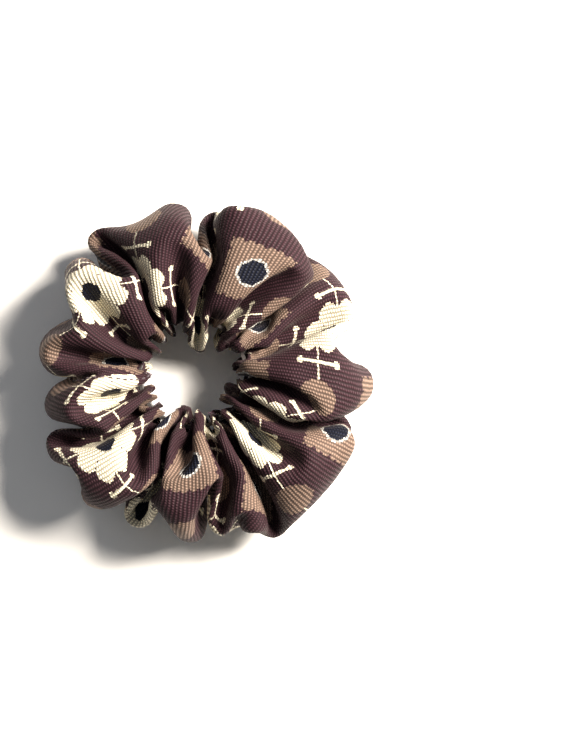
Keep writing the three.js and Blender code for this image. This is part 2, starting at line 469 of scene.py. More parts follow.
    def holds(self, drawing: bool) -> np.ndarray:
        """How firmly each point is drawn to its place, from 0, free, to 1, fixed.

        The ties and the two ends of the tube are fixed. While the cloth is drawn in, a patch on
        each lobe's outer and inner side is held lightly and the rest barely; later the rest is free.

        Args:
            drawing: The cloth is being drawn in.

        Returns:
            The holds, rows by columns.
        """
        hold = np.full((self.rows + 1, self.columns), self.guide_hold if drawing else 0.0)
        outer = self.columns // 2
        for row in np.round(self.plan.crests() / self.plan.length * self.rows).astype(int):
            if drawing:
                hold[row - 1:row + 2, outer - 2:outer + 3] = self.crest_hold
                hold[row - 1:row + 2, [-1, 0, 1]] = self.inner_hold
        for row, column, _ in self.tie_points():
            hold[row, column] = 1.0
        hold[[0, -1], :] = 1.0
        return hold

    def _keyed_mesh(self, first: np.ndarray, last: np.ndarray, frames: int,
                    hold: np.ndarray) -> bpy.types.Object:
        """The straight tube with two shape keys, which moves from the first shape to the last.

        Args:
            first: Points at the first frame.
            last: Points at the last frame.
            frames: The last frame's number.
            hold: How firmly each point follows, from 0 to 1.

        Returns:
            The mesh that is to be cloth.
        """
        faces = grid_faces(self.rows + 1, self.columns, False, True)
        size = self.scale * MM
        cloth = make_object("cloth_in_the_making", self.straight() * size, faces)
        cloth.shape_key_add(name="cut")
        for name, shape, start, end in (("first", first, 1.0, 0.0), ("last", last, 0.0, 1.0)):
            key = cloth.shape_key_add(name=name)
            key.data.foreach_set("co", (shape.reshape(-1, 3) * size).ravel())
            for frame_number, value in ((1, start), (frames, end)):
                key.value = value
                key.keyframe_insert("value", frame=frame_number)
        self._even_pace(cloth.data.shape_keys)
        group = cloth.vertex_groups.new(name="held")
        for value in np.unique(hold):
            group.add(np.flatnonzero(hold.ravel() == value).tolist(), float(value), "REPLACE")
        return cloth

    @staticmethod
    def _even_pace(animated: bpy.types.ID) -> None:
        """Make all of a data-block's keyframes run evenly from one to the next.

        Args:
            animated: The data-block.
        """
        for curve in animated.animation_data.action.fcurves:
            for point in curve.keyframe_points:
                point.interpolation = "LINEAR"

    def _make_solid(self, thing: bpy.types.Object) -> bpy.types.Object:
        """Let the cloth collide with a helper, with some friction.

        Args:
            thing: The helper.

        Returns:
            The same helper.
        """
        thing.modifiers.new("collision", "COLLISION")
        thing.collision.thickness_outer = self.helper_skin * self.scale * MM
        thing.collision.cloth_friction = self.friction
        return thing

    def _press_plates(self) -> list[bpy.types.Object]:
        """The table below and a flat plate above that keep the ring's height.

        Returns:
            The two plates.
        """
        plates = []
        reach = self.plate_reach * self.scale * MM
        square = np.array([(-reach, -reach), (reach, -reach), (reach, reach), (-reach, reach)])
        for level, corners in ((self.plan.low, [[0, 1, 2, 3]]), (self.plan.high, [[3, 2, 1, 0]])):
            points = np.column_stack([square, np.full(4, level * self.scale * MM)])
            plate = make_object("plate_in_the_making", points, np.array(corners))
            plates.append(self._make_solid(plate))
        return plates

    def _elastic_inside(self, drawing: bool) -> bpy.types.Object:
        """The elastic as a solid band inside the tube, drawn in just behind the ties.

        It is a ring of rectangular section, one millimetre thick.

        Args:
            drawing: The band shrinks with the cloth, from the wide ring to its own size.

        Returns:
            The band.
        """
        plan = self.plan
        sides = self.band_sides
        wide = (plan.length - plan.tube_round) / FULL_TURN + plan.band_gap
        turn = np.arange(sides) * FULL_TURN / sides
        section = [(plan.band_radius + step, side * plan.band_height / 2)
                   for step, side in ((0.0, -1), (1.0, -1), (1.0, 1), (0.0, 1))]
        points = np.stack([np.stack([r * np.cos(turn), r * np.sin(turn), np.full(sides, z)], axis=-1)
                           for r, z in section], axis=1)
        faces = grid_faces(sides, len(section), True, True)
        band = make_object("band_in_the_making", points * self.scale * MM, faces)
        self._make_solid(band)
        if drawing:
            for frame_number, factor in ((1, wide / plan.band_radius), (self.gather_frames, 1.0)):
                band.scale = (factor, factor, 1.0)
                band.keyframe_insert("scale", frame=frame_number)
            self._even_pace(band)
        return band

    def _add_cloth(self, cloth: bpy.types.Object, frames: int) -> None:
        """Give the mesh its cloth solver: stiffness, pressure, holds, rest shape and collisions.

        Args:
            cloth: The keyed mesh.
            frames: The last frame's number.
        """
        modifier = cloth.modifiers.new("cloth", "CLOTH")
        settings = modifier.settings
        settings.quality = self.quality
        settings.mass = self.weight
        settings.tension_stiffness = self.stretch
        settings.compression_stiffness = self.stretch
        settings.shear_stiffness = self.shear
        settings.bending_stiffness = self.bending
        settings.tension_damping = self.damping
        settings.compression_damping = self.damping
        settings.shear_damping = self.damping
        settings.bending_damping = self.bending_damping
        settings.vertex_group_mass = "held"
        settings.rest_shape_key = cloth.data.shape_keys.key_blocks["cut"]
        settings.use_pressure = True
        settings.uniform_pressure_force = self.pressure
        settings.effector_weights.gravity = 0.0
        contact = modifier.collision_settings
        contact.use_self_collision = True
        contact.self_distance_min = self.layer_gap * self.scale * MM
        contact.self_friction = self.friction
        contact.collision_quality = self.contact_steps
        contact.distance_min = self.helper_gap * self.scale * MM
        modifier.point_cache.frame_start = 1
        modifier.point_cache.frame_end = frames

    def _solve(self, first: np.ndarray, last: np.ndarray, frames: int, drawing: bool) -> np.ndarray:
        """Run the solver once and clear its helpers away.

        Args:
            first: The cloth's points at the start.
            last: Where the holds draw it to.
            frames: How many steps it takes.
            drawing: The elastic shrinks and the guide draws the cloth.

        Returns:
            Where the cloth ends up, rows by columns by three.
        """
        scene = bpy.context.scene
        cloth = self._keyed_mesh(first, last, frames, self.holds(drawing))
        helpers = [cloth, *self._press_plates(), self._elastic_inside(drawing)]
        self._add_cloth(cloth, frames)
        scene.frame_start, scene.frame_end = 1, frames
        for frame_number in range(1, frames + 1):
            scene.frame_set(frame_number)
        solved = cloth.evaluated_get(bpy.context.evaluated_depsgraph_get()).data
        points = np.empty(len(solved.vertices) * 3)
        solved.vertices.foreach_get("co", points)
        for helper in helpers:
            mesh = helper.data
            bpy.data.objects.remove(helper)
            bpy.data.meshes.remove(mesh)
        scene.frame_set(1)
        return points.reshape(self.rows + 1, self.columns, 3) / (self.scale * MM)

    def run(self) -> np.ndarray:
        """Run the simulation and close the tube.

        Returns:
            Points of the closed ring, rows by columns by three, in millimetres of the plan. The
            tube's two ends, which are held together, are one row.
        """
        drawn = self._solve(self.wide_ring(), self.gathered_guide(), self.gather_frames, True)
        settled = self._solve(drawn, drawn, self.settle_frames, False)
        settled[0] = (settled[0] + settled[-1]) / 2.0
        return settled[:-1]


# ---------------------------------------------------------------------------------------------
# Finishes


class MotifTone(Enum):
    """The print's inks, as sRGB: a plum ground, tan, cream, navy, and the pale ring of a dot."""

    GROUND = "2d191f"
    TAN = "6c594e"
    CREAM = "d3cab3"
    NAVY = "080c1b"
    RING = "a9a6a1"


@dataclass(frozen=True)
class PrintedRibSatin:
    """Rib satin of polyester, woven with raised ribs and then screen printed.

    To the eye it is a row of fine ribs, each with a soft sheen on its floats and a dark groove beside
    it, under matt inks whose edges step from thread to thread. Besides the bump and roughness, the
    colour carries painted shade in the grooves and a painted highlight on the floats.

    The print is a plain lattice of simple shapes: four-petalled flowers at its crossings, discs
    halfway along its sides, thin stems with a crossbar between them, and squares with a dot in its
    cells. Sizes are in millimetres on the flat cloth, and the scale of a noise is per millimetre.
    """

    # Where the lattice lies, its turn in degrees, and the threads that its edges step along.
    repeat: float = 48.0
    offset: tuple[float, float] = (10.0, 14.0)
    turn: float = 13.0
    thread: float = 0.5
    fray: float = 1.0
    fray_scale: float = 0.8
    # The motifs.
    core: float = 6.2
    petal_out: float = 7.4
    petal_side: float = 3.0
    petal: float = 3.2
    flower_dot: float = 3.2
    disc: float = 5.4
    stem: float = 0.5
    stem_from: float = 8.0
    bar_at: float = 13.8
    bar_reach: float = 5.3
    ball: float = 1.0
    square: float = 9.3
    scallop: float = 0.9
    scallop_turn: float = 1.15
    square_dot: float = 3.9
    square_ring: float = 0.7
    # The weave: ribs and their floats, how far a rib wanders, and how deep a float's end dips.
    rib_pitch: float = 1.1
    stitch_pitch: float = 0.85
    rib_height: float = 0.2
    wander: float = 0.5
    wander_scale: float = 0.35
    float_end: float = 0.3
    # The tone is painted shade in a groove and a painted highlight on a float's top, as factors on the
    # ink; then the roughness of both, and the yarn's unevenness.
    tone: tuple[float, float] = (0.36, 1.6)
    roughness: tuple[float, float] = (0.75, 0.48)
    uneven: tuple[float, float] = (0.82, 1.12)
    uneven_scale: float = 1.9
    # Soft creases a centimetre or so wide.
    crumple_height: float = 0.9
    crumple_share: float = 0.5
    crumple_scale: float = 0.11

    def dress(self, uv_map: str) -> bpy.types.Material:
        """Build the material.

        Args:
            uv_map: The UV map that holds places on the flat cloth, in millimetres.

        Returns:
            The material.
        """
        material, tree, shader = new_material(
            "rib_satin_printed", Sheen_Weight=0.05, Sheen_Roughness=0.35, Specular_IOR_Level=0.15)
        shader.inputs["Sheen Tint"].default_value = linear("e8d8d4")
        cloth = add_node(tree, "ShaderNodeUVMap", uv_map=uv_map)
        placed = add_node(tree, "ShaderNodeMapping", {
            "Vector": cloth, "Location": (*self.offset, 0.0),
            "Rotation": (0.0, 0.0, math.radians(self.turn))})
        weave = self._weave(tree, placed)
        ink = self._print(tree, placed)
        # The ink gets painted shade in the grooves and a painted highlight on the floats.
        colour = self._ink_with_painted_rib_light(tree, ink, weave, placed)
        tree.links.new(colour.outputs[0], shader.inputs["Base Color"])
        rough = add_node(tree, "ShaderNodeMapRange", {
            "Value": weave, "To Min": self.roughness[0], "To Max": self.roughness[1]})
        tree.links.new(rough.outputs[0], shader.inputs["Roughness"])
        crumple = add_node(tree, "ShaderNodeTexNoise", {
            "Vector": placed, "Scale": self.crumple_scale, "Detail": 2.0})
        soft = add_node(tree, "ShaderNodeBump", {
            "Height": crumple, "Distance": self.crumple_height * MM, "Strength": self.crumple_share})
        ribbed = add_node(tree, "ShaderNodeBump", {
            "Height": weave, "Distance": self.rib_height * MM, "Strength": 1.0, "Normal": soft})
        tree.links.new(ribbed.outputs[0], shader.inputs["Normal"])
        return material

    def _weave(self, tree: bpy.types.NodeTree, placed: bpy.types.Node) -> bpy.types.Node:
        """Height of the weave, 0 to 1: ribs across U, each a row of float stitches laid like bricks.

        Across a rib it is half a sine. Along a rib it dips between one stitch and the next, and
        every other rib is moved along by half a stitch. A slow noise bends the ribs slightly.

        Args:
            tree: The material's node tree.
            placed: Places on the cloth, in the lattice's own frame.

        Returns:
            The node whose first output is the height.
        """
        drift = add_node(tree, "ShaderNodeTexNoise", {
            "Vector": placed, "Scale": self.wander_scale, "Detail": 1.0})
        centred = add_node(tree, "ShaderNodeVectorMath", {
            0: drift.outputs["Color"], 1: (0.5, 0.5, 0.5)}, operation="SUBTRACT")
        bent = add_node(tree, "ShaderNodeVectorMath", {
            0: centred, 1: (self.wander, self.wander, 0.0), 2: placed}, operation="MULTIPLY_ADD")
        part = add_node(tree, "ShaderNodeSeparateXYZ", {0: bent})
        rib = add_node(tree, "ShaderNodeMath", {
            0: part.outputs["X"], 1: self.rib_pitch}, operation="DIVIDE")
        rib_number = add_node(tree, "ShaderNodeMath", {0: rib}, operation="FLOOR")
        across = add_node(tree, "ShaderNodeMath", {0: rib}, operation="FRACT")
        half_turn = add_node(tree, "ShaderNodeMath", {0: across, 1: math.pi}, operation="MULTIPLY")
        arch = add_node(tree, "ShaderNodeMath", {0: half_turn}, operation="SINE")
        hump = add_node(tree, "ShaderNodeMath", {0: arch, 1: 2.0}, operation="POWER")
        shift = add_node(tree, "ShaderNodeMath", {0: rib_number, 1: 0.5}, operation="MULTIPLY")
        stitch = add_node(tree, "ShaderNodeMath", {
            0: part.outputs["Y"], 1: 1.0 / self.stitch_pitch, 2: shift}, operation="MULTIPLY_ADD")
        stitch_turn = add_node(tree, "ShaderNodeMath", {0: stitch, 1: FULL_TURN}, operation="MULTIPLY")
        wave = add_node(tree, "ShaderNodeMath", {0: stitch_turn}, operation="COSINE")
        dip = add_node(tree, "ShaderNodeMapRange", {
            "Value": wave, "From Min": -1.0, "From Max": 0.7, "To Min": self.float_end, "To Max": 1.0})
        return add_node(tree, "ShaderNodeMath", {0: hump, 1: dip}, operation="MULTIPLY")

    def _print(self, tree: bpy.types.NodeTree, placed: bpy.types.Node) -> bpy.types.Node:
        """The inks, as one colour: each place is wrapped to one repeat and folded to one eighth.

        A place is first snapped to the threads, so every edge steps from thread to thread. In the
        fold, m is the larger and n the smaller distance from the lattice's crossing.

        Args:
            tree: The material's node tree.
            placed: Places on the cloth, in the lattice's own frame.

        Returns:
            The node whose colour output is the ink.
        """
        noise = add_node(tree, "ShaderNodeTexNoise", {
            "Vector": placed, "Scale": self.fray_scale, "Detail": 2.0})
        off = add_node(tree, "ShaderNodeVectorMath", {
            0: noise.outputs["Color"], 1: (0.5, 0.5, 0.5)}, operation="SUBTRACT")
        frayed = add_node(tree, "ShaderNodeVectorMath", {
            0: off, 1: (self.fray, self.fray, 0.0), 2: placed}, operation="MULTIPLY_ADD")
        snapped = add_node(tree, "ShaderNodeVectorMath", {
            0: frayed, 1: (self.thread, self.thread, 1.0)}, operation="SNAP")
        half = self.repeat / 2.0
        wrapped = add_node(tree, "ShaderNodeVectorMath", {
            0: snapped, 1: (half, half, 1.0), 2: (-half, -half, -1.0)}, operation="WRAP")
        folded = add_node(tree, "ShaderNodeVectorMath", {0: wrapped}, operation="ABSOLUTE")
        part = add_node(tree, "ShaderNodeSeparateXYZ", {0: folded})
        across, along = part.outputs["X"], part.outputs["Y"]
        m = add_node(tree, "ShaderNodeMath", {0: across, 1: along}, operation="MAXIMUM")
        n = add_node(tree, "ShaderNodeMath", {0: across, 1: along}, operation="MINIMUM")
        eighth = add_node(tree, "ShaderNodeCombineXYZ", {"X": m, "Y": n})

        def within(point: tuple[float, float], radius: float) -> bpy.types.Node:
            """One inside a circle about a point of the eighth, nought outside.

            Args:
                point: m and n at the circle's middle.
                radius: The circle's radius.

            Returns:
                The mask.
            """
            away = add_node(tree, "ShaderNodeVectorMath", {
                0: eighth, 1: (*point, 0.0)}, operation="DISTANCE")
            return add_node(tree, "ShaderNodeMath", {
                0: away.outputs["Value"], 1: radius}, operation="LESS_THAN")

        def either(*masks: bpy.types.Node) -> bpy.types.Node:
            """One where any of the masks is one: the largest of them.

            Args:
                masks: The masks to join.

            Returns:
                The joined mask.
            """
            joined = masks[0]
            for mask in masks[1:]:
                joined = add_node(tree, "ShaderNodeMath", {0: joined, 1: mask}, operation="MAXIMUM")
            return joined

        def both(first: bpy.types.Node, second: bpy.types.Node) -> bpy.types.Node:
            """One where both masks are one."""
            return add_node(tree, "ShaderNodeMath", {0: first, 1: second}, operation="MULTIPLY")

        narrow = add_node(tree, "ShaderNodeMath", {0: n, 1: self.stem}, operation="LESS_THAN")
        stem_half = (half - self.disc - self.stem_from) / 2.0
        stem_span = add_node(tree, "ShaderNodeMath", {
            0: m, 1: self.stem_from + stem_half, 2: stem_half}, operation="COMPARE")
        bar_line = add_node(tree, "ShaderNodeMath", {
            0: m, 1: self.bar_at, 2: self.stem}, operation="COMPARE")
        bar_span = add_node(tree, "ShaderNodeMath", {0: n, 1: self.bar_reach}, operation="LESS_THAN")
        cream = either(
            within((0.0, 0.0), self.core),
            within((self.petal_out, self.petal_side), self.petal),
            both(narrow, stem_span),
            both(bar_line, bar_span),
            within((self.bar_at, self.bar_reach), self.ball))

        from_cell = add_node(tree, "ShaderNodeVectorMath", {
            0: (half, half, 0.0), 1: folded}, operation="SUBTRACT")
        cell = add_node(tree, "ShaderNodeSeparateXYZ", {0: from_cell})
        farther = add_node(tree, "ShaderNodeMath", {
            0: cell.outputs["X"], 1: cell.outputs["Y"]}, operation="MAXIMUM")
        nearer = add_node(tree, "ShaderNodeMath", {
            0: cell.outputs["X"], 1: cell.outputs["Y"]}, operation="MINIMUM")
        round_edge = add_node(tree, "ShaderNodeMath", {
            0: nearer, 1: self.scallop_turn}, operation="MULTIPLY")
        waves = add_node(tree, "ShaderNodeMath", {0: round_edge}, operation="SINE")
        bumps = add_node(tree, "ShaderNodeMath", {0: waves}, operation="ABSOLUTE")
        edge = add_node(tree, "ShaderNodeMath", {
            0: bumps, 1: self.scallop, 2: self.square - self.scallop}, operation="MULTIPLY_ADD")
        square = add_node(tree, "ShaderNodeMath", {0: farther, 1: edge}, operation="LESS_THAN")
        tan = either(square, within((half, 0.0), self.disc))

        ring = within((half, half), self.square_dot + self.square_ring)
        navy = either(within((half, half), self.square_dot), within((0.0, 0.0), self.flower_dot))
        colour: bpy.types.Node | None = None
        for mask, tone in ((tan, MotifTone.TAN), (cream, MotifTone.CREAM), (ring, MotifTone.RING),
                           (navy, MotifTone.NAVY)):
            under = linear(MotifTone.GROUND.value) if colour is None else colour.outputs[2]
            colour = add_node(tree, "ShaderNodeMix", {
                0: mask, 6: under, 7: linear(tone.value)}, data_type="RGBA")
        return colour

    def _ink_with_painted_rib_light(self, tree: bpy.types.NodeTree, ink: bpy.types.Node, weave: bpy.types.Node,
                   placed: bpy.types.Node) -> bpy.types.Node:
        """Ink with painted shade between ribs, a painted highlight on each float, and a little random
        unevenness of the yarn.

        Args:
            tree: The material's node tree.
            ink: The print's colour.
            weave: The weave's height, 0 to 1.
            placed: Places on the cloth.

        Returns:
            The node whose first output is the colour: ink times the painted rib light and the
            unevenness.
        """
        # Painted shade and painted highlight, following the weave's height: darker in the grooves,
        # lighter on the float tops.
        painted_rib_light = add_node(tree, "ShaderNodeMapRange", {
            "Value": weave, "To Min": self.tone[0], "To Max": self.tone[1]})
        uneven = add_node(tree, "ShaderNodeTexNoise", {
            "Vector": placed, "Scale": self.uneven_scale, "Detail": 3.0})
        spread = add_node(tree, "ShaderNodeMapRange", {
            "Value": uneven, "From Min": 0.3, "From Max": 0.7,
            "To Min": self.uneven[0], "To Max": self.uneven[1]})
        shade = add_node(tree, "ShaderNodeMath", {0: painted_rib_light, 1: spread}, operation="MULTIPLY")
        return add_node(tree, "ShaderNodeVectorMath", {
            0: ink.outputs[2], 1: shade}, operation="MULTIPLY")


@dataclass(frozen=True)
class BraidedElastic:
    """Flat braided elastic: rubber cores wrapped in black polyester.

    To the eye it is a matt black band of narrow lengthwise cords, crossed by slanting picks.
    """

    cord_pitch: float = 0.9
    pick_pitch: float = 0.7
    pick_height: float = 0.25
    relief: float = 0.2
    colour: str = "26211f"

    def dress(self, uv_map: str) -> bpy.types.Material:
        """Build the material: cords along U and slanting picks across them, with painted shade where
        the braid is low.

        The height is the size of a sine across the cords, plus a share of a sine along U plus V.

        Args:
            uv_map: The UV map that holds places on the band, in millimetres.

        Returns:
            The material.
        """
        material, tree, shader = new_material("elastic_braided", Roughness=0.75, Sheen_Weight=0.2)
        place = add_node(tree, "ShaderNodeUVMap", uv_map=uv_map)
        part = add_node(tree, "ShaderNodeSeparateXYZ", {0: place})
        cord_turn = add_node(tree, "ShaderNodeMath", {
            0: part.outputs["Y"], 1: math.pi / self.cord_pitch}, operation="MULTIPLY")
        cord = add_node(tree, "ShaderNodeMath", {0: cord_turn}, operation="SINE")
        round_cord = add_node(tree, "ShaderNodeMath", {0: cord}, operation="ABSOLUTE")
        slant = add_node(tree, "ShaderNodeMath", {
            0: part.outputs["X"], 1: part.outputs["Y"]}, operation="ADD")
        pick_turn = add_node(tree, "ShaderNodeMath", {
            0: slant, 1: FULL_TURN / self.pick_pitch}, operation="MULTIPLY")
        pick = add_node(tree, "ShaderNodeMath", {0: pick_turn}, operation="SINE")
        height = add_node(tree, "ShaderNodeMath", {
            0: pick, 1: self.pick_height, 2: round_cord}, operation="MULTIPLY_ADD")
        # Painted shade: the colour drops to 0.7 where the braid's height is lowest, between cords and
        # picks.
        shade = add_node(tree, "ShaderNodeMapRange", {"Value": height, "To Min": 0.7, "To Max": 1.0})
        tone = add_node(tree, "ShaderNodeVectorMath", {
            0: linear(self.colour)[:3], 1: shade}, operation="MULTIPLY")
        tree.links.new(tone.outputs[0], shader.inputs["Base Color"])
        bump = add_node(tree, "ShaderNodeBump", {
            "Height": height, "Distance": self.relief * MM, "Strength": 0.8})
        tree.links.new(bump.outputs[0], shader.inputs["Normal"])
        return material


@dataclass(frozen=True)
class SpunThread:
    """Spun polyester sewing thread, twisted from two plies and dyed to match the ground.

    To the eye it is a thin matt line that turns from light to dark along its length, which is painted
    shade and highlight of the twist. The plies are half a millimetre apart, too fine to show, so the
    turns are drawn about six millimetres apart.
    """

    colour: str = "3a2230"
    turn_pitch: float = FULL_TURN
    relief: float = 0.05

    def dress(self) -> bpy.types.Material:
        """Build the material: slanting bands from Object coordinates, used as the bump and as painted
        shade and highlight along the thread.

        The wave runs ten radians for each unit along an axis, so its scale is a full turn over ten
        times the pitch in metres.

        Returns:
            The material.
        """
        material, tree, shader = new_material("thread_spun_polyester", Roughness=0.6, Sheen_Weight=0.3)
        place = add_node(tree, "ShaderNodeTexCoord")
        plies = add_node(tree, "ShaderNodeTexWave", {
            "Vector": place.outputs["Object"], "Scale": FULL_TURN / (10.0 * self.turn_pitch * MM),
            "Distortion": 0.4}, wave_type="BANDS", bands_direction="DIAGONAL")
        # Painted shade and highlight: the colour runs from 0.6 to 1.25 of the dye with the bands,
        # lighter where the bump is raised.
        shade = add_node(tree, "ShaderNodeMapRange", {
            "Value": plies.outputs["Fac"], "To Min": 0.6, "To Max": 1.25})
        tone = add_node(tree, "ShaderNodeVectorMath", {
            0: linear(self.colour)[:3], 1: shade}, operation="MULTIPLY")
        tree.links.new(tone.outputs[0], shader.inputs["Base Color"])
        bump = add_node(tree, "ShaderNodeBump", {
            "Height": plies.outputs["Fac"], "Distance": self.relief * MM, "Strength": 0.8})
        tree.links.new(bump.outputs[0], shader.inputs["Normal"])
        return material


@dataclass(frozen=True)
class MattPaper:
    """Plain pale studio paper, uncoated and rolled out flat: a matt, even white to the eye."""

    colour: str = "f4f3f1"
    mottle_scale: float = 25.0

    def dress(self) -> bpy.types.Material:
        """Build the material: nearly white, with a faint mottle a few centimetres wide.

        Returns:
            The material.
        """
        material, tree, shader = new_material("paper_matt_white", Roughness=0.95)
        place = add_node(tree, "ShaderNodeTexCoord")
        mottle = add_node(tree, "ShaderNodeTexNoise", {
            "Vector": place.outputs["Object"], "Scale": self.mottle_scale})
        shade = add_node(tree, "ShaderNodeMapRange", {"Value": mottle, "To Min": 0.985, "To Max": 1.0})
        tone = add_node(tree, "ShaderNodeVectorMath", {
            0: linear(self.colour)[:3], 1: shade}, operation="MULTIPLY")
        tree.links.new(tone.outputs[0], shader.inputs["Base Color"])
        return material


# ---------------------------------------------------------------------------------------------
# Sub-assemblies


LEVEL = np.array([1.0, 1.0, 0.0])


def stretch_with_ring(piece: bpy.types.Object) -> None:
    """Bake a piece's transform into its mesh, so it sits at the origin with no transform."""
    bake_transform(piece)


def refine(grid: np.ndarray, axis: int) -> np.ndarray:
    """Double the points of a closed grid along one axis, as one step of cubic subdivision does.

    Each old point becomes 6/8 of itself and 1/8 of each neighbour, and the new point halfway to
    the next one is the mean of both.

    Args:
        grid: Points, rows by columns by three, closed on itself both ways.
        axis: 0 to double the rows, 1 to double the columns.

    Returns:
        The finer grid.
    """
    after = np.roll(grid, -1, axis=axis)
    before = np.roll(grid, 1, axis=axis)
    kept = (before + 6.0 * grid + after) / 8.0
    added = (grid + after) / 2.0
    paired = np.stack([kept, added], axis=axis + 1)
    shape = list(grid.shape)
    shape[axis] *= 2
    return paired.reshape(shape)


def grid_normals(grid: np.ndarray) -> np.ndarray:
    """Outward normal at each point of a closed grid: the cross product of its two directions.

    Args:
        grid: Points, rows by columns by three.

    Returns:
        Unit normals, in the same layout.
    """
    along = np.roll(grid, -1, axis=0) - np.roll(grid, 1, axis=0)
    around = np.roll(grid, -1, axis=1) - np.roll(grid, 1, axis=1)
    return unit(np.cross(along, around))


@dataclass
class GatheredCover:
    """The cloth tube: one long seam on the side of the hole and one closing seam across it.

    Sizes are in millimetres. The grid and the height of its middle are known once it is built.
    """

    plan: GatherPlan
    wall: float = 0.4
    rest_gap: float = 0.25
    seam_depth: float = 0.55
    uv_map: str = "cloth_mm"
    grid: np.ndarray = field(default_factory=lambda: np.zeros((0, 0, 3)))
    middle: float = 0.0

    def build(self, finish: PrintedRibSatin) -> bpy.types.Object:
        """Fold the cloth, draw its seams in and dress it.

        Args:
            finish: The cloth's finish.

        Returns:
            The cover.
        """
        folded = ClothSimulation(self.plan).run() * self.plan.final_size
        grid = refine(refine(folded, 0), 1)
        normals = grid_normals(grid)
        depth = np.zeros(grid.shape[:2])
        depth[0, :] = self.seam_depth
        depth[:, 0] = self.seam_depth
        grid = grid - depth[..., None] * normals
        self.middle = self.rest_gap - float(grid[..., 2].min())
        grid[..., 2] += self.middle
        self.grid = grid
        rows, columns = grid.shape[:2]
        cover = make_object("cover", grid.reshape(-1, 3) * MM, grid_faces(rows, columns, True, True))
        self._lay_uv(cover, rows, columns)
        cover.data.materials.append(finish.dress(self.uv_map))
        shell = cover.modifiers.new("cloth_thickness", "SOLIDIFY")
        shell.thickness = self.wall * MM
        shell.offset = -1.0
        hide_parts(*[f"cover_gather_{number}" for number in range(1, 9)])
        stretch_with_ring(cover)
        return cover

    def _lay_uv(self, cover: bpy.types.Object, rows: int, columns: int) -> None:
        """UV in millimetres on the flat cloth: U along the tube, V round it, both cut at the seams.

        Args:
            cover: The cover.
            rows: Rows of its grid.
            columns: Columns of its grid.
        """
        row, column = np.meshgrid(np.arange(rows), np.arange(columns), indexing="ij")
        girth, length = self.plan.cut
        along = np.stack([row, row + 1, row + 1, row], axis=-1) * length / rows
        around = np.stack([column, column, column + 1, column + 1], axis=-1) * girth / columns
        layer = cover.data.uv_layers.new(name=self.uv_map)
        layer.data.foreach_set("uv", np.stack([along, around], axis=-1).astype(np.float32).ravel())


@dataclass
class Elastic:
    """The elastic loop inside the tube: a flat band whose two ends lap at the closing seam."""

    width: float = 6.0
    thick: float = 1.0
    lap: float = 12.0
    lap_gap: float = 1.25
    steps: int = 240
    uv_map: str = "band_mm"

    def build(self, route: np.ndarray, finish: BraidedElastic) -> bpy.types.Object:
        """Lay the band along its route.

        The section is a flat rectangle that stands on edge. Its distance from the ring's axis grows
        evenly by lap_gap thicknesses over the whole loop, so one end laps outside the other.

        Args:
            route: Closed path of the band's middle, from the closing seam on, in millimetres.
            finish: The elastic's finish.

        Returns:
            The elastic.
        """
        length = float(np.linalg.norm(np.roll(route, -1, axis=0) - route, axis=1).sum())
        share = np.linspace(-self.lap / length / 2, 1 + self.lap / length / 2, self.steps)
        knots = np.arange(len(route) + 1) / len(route)
        closed = np.vstack([route, route[:1]])
        path = np.stack([np.interp(share % 1.0, knots, closed[:, axis]) for axis in range(3)], axis=-1)
        outward = unit(path * LEVEL)
        path = path + outward * ((share - 0.5) * self.lap_gap * self.thick)[:, None]
        across = ((-0.5, -0.5), (0.5, -0.5), (0.5, 0.5), (-0.5, 0.5))
        up = np.array([0.0, 0.0, 1.0])
        points = np.stack(
            [path + outward * (a * self.thick) + up * (b * self.width) for a, b in across], axis=1)
        faces = grid_faces(self.steps, 4, False, True)
        last = (self.steps - 1) * 4
        caps = np.array([[0, 1, 2, 3], [last + 3, last + 2, last + 1, last]])
        faces = np.vstack([faces, caps])[:, ::-1]
        band = make_object("elastic", points.reshape(-1, 3) * MM, faces)
        band.data.polygons.foreach_set("use_smooth", np.zeros(len(band.data.polygons), bool))
        self._lay_uv(band, points.reshape(-1, 3), length)
        band.data.materials.append(finish.dress(self.uv_map))
        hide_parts("elastic_right_half", "elastic_inner_end", "elastic_outer_end")
        stretch_with_ring(band)
        return band

    def _lay_uv(self, band: bpy.types.Object, points: np.ndarray, length: float) -> None:
        """UV in millimetres: U along the band, V up it.

        Args:
            band: The elastic.
            points: Its points, four to a step.
            length: Its length.
        """
        corners = np.empty(len(band.data.loops), int)
        band.data.loops.foreach_get("vertex_index", corners)
        along = (corners // 4) / (self.steps - 1) * length
        layer = band.data.uv_layers.new(name=self.uv_map)
        places = np.stack([along, points[corners, 2]], axis=-1)
        layer.data.foreach_set("uv", places.astype(np.float32).ravel())


